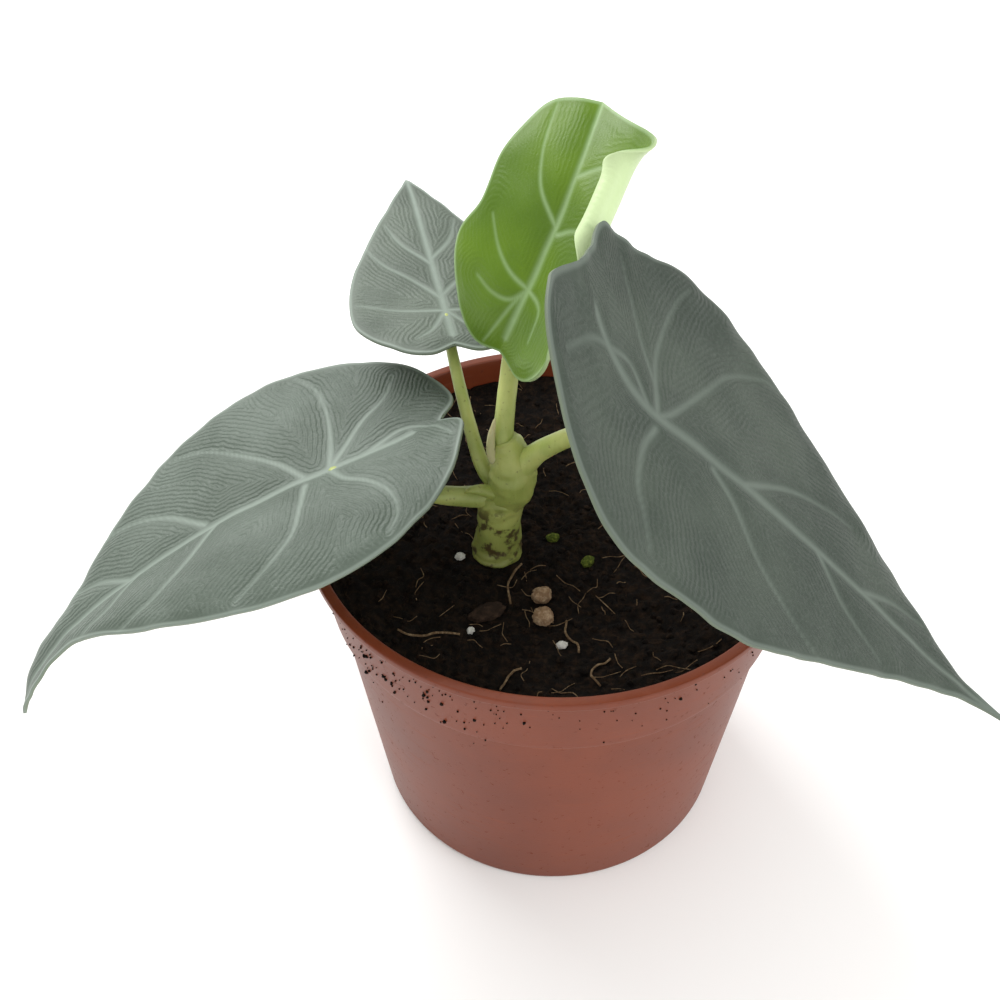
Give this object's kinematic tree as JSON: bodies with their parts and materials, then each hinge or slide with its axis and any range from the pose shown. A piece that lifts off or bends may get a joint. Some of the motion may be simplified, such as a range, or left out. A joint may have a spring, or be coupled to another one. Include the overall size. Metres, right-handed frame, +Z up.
{
  "type": "potted alocasia plant",
  "caption": "Young foliage plant with grey shield-shaped leaves and a fresh green one, in a tapered round nursery pot with a collared rim.",
  "frame": {"origin": "centre of the pot's flat underside", "axes": "+Z up along the pot's axis; the long leaves point to -X and +X and the small rear leaf to +Y"},
  "size_m": [0.2182, 0.1694, 0.1857],
  "materials": {
    "terracotta_plastic": "semi-matt moulded polypropylene, terracotta colour",
    "soil": "damp dark peat mix",
    "stalk_green": "smooth waxy yellow-green leaf stalk",
    "sheath_green": "smooth yellow-green leaf base with a brown scar",
    "sheath_pale": "dry papery leaf sheath",
    "blade_grey": "grey-green quilted leaf with pale veins",
    "blade_green": "glossy fresh green young leaf with pale veins",
    "clay": "rough pale brown clay",
    "bark": "dull brown bark",
    "perlite": "white foamed mineral",
    "moss": "matt yellow-green moss",
    "root": "dry fibrous root"
  },
  "bodies": {
    "root": {"pot": "terracotta_plastic", "soil": "soil", "stem": "sheath_green", "sheath": "sheath_green", "sheath_tip": "sheath_pale", "sheath_flap": "sheath_pale", "petiole_left": "stalk_green", "petiole_right": "stalk_green", "petiole_new": "stalk_green", "petiole_back": "stalk_green", "blade_left": "blade_grey", "blade_right": "blade_grey", "blade_back": "blade_grey", "blade_new": "blade_green", "clay_lump_rear": "clay", "clay_lump_front": "clay", "bark_chip": "bark", "perlite_left": "perlite", "perlite_front": "perlite", "perlite_right": "perlite", "moss_tuft_rear": "moss", "moss_tuft_right": "moss", "root_left": "root", "root_middle": "root", "root_right": "root", "root_front": "root", "root_rim": "root"}
  },
  "joints": []
}
